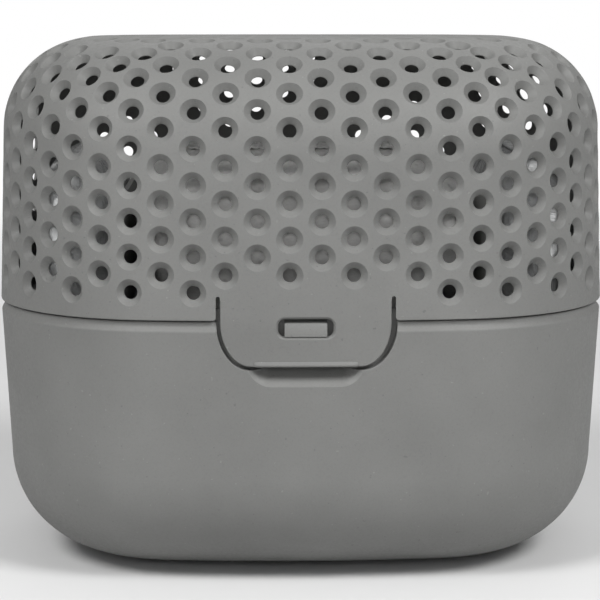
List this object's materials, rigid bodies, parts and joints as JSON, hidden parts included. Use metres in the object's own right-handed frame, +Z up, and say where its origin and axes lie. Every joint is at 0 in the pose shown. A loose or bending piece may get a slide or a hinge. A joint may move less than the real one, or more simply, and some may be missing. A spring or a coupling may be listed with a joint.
{
  "type": "dehumidifier",
  "caption": "Passive dehumidifier: a perforated rounded lid hinged on a deep water tub, with a flexing front latch tab and sachets of drying crystals on a rack inside.",
  "frame": {"origin": "on the floor, below the centre of the object's box", "axes": "+Z up, the latch faces -Y, +X to the right when facing the latch"},
  "size_m": [0.2, 0.158, 0.171],
  "materials": {
    "grey_plastic": "fine-grained matte moulding with faint flecks",
    "pale_plastic": "plain matte moulding",
    "nonwoven": "matte breathable nonwoven sheet",
    "film": "wrinkled glossy film",
    "rubber": "matte",
    "steel": "drawn wire"
  },
  "bodies": {
    "base": {"base_tub": "grey_plastic", "bag_rack": "pale_plastic", "divider_left": "pale_plastic", "divider_right": "pale_plastic", "sachet_left": "film", "sachet_centre": "nonwoven", "sachet_right": "film", "hinge_pin_left": "steel", "hinge_pin_right": "steel", "foot_front_left": "rubber", "foot_front_right": "rubber", "foot_back_left": "rubber", "foot_back_right": "rubber"},
    "lid": {"lid_shell": "grey_plastic"},
    "latch": {"latch_tab": "grey_plastic"}
  },
  "joints": [
    {"name": "lid_hinge", "type": "hinge", "parent": "base", "child": "lid", "pos_m": [0, 0.07615, 0.085], "axis": [-1, 0, 0], "range_deg": [0, 95]},
    {"name": "latch_flex", "type": "hinge", "parent": "lid", "child": "latch", "pos_m": [0, -0.07795, 0.0936], "axis": [-1, 0, 0], "range_deg": [0, 9], "stiffness_Nm_per_rad": 0.6}
  ]
}
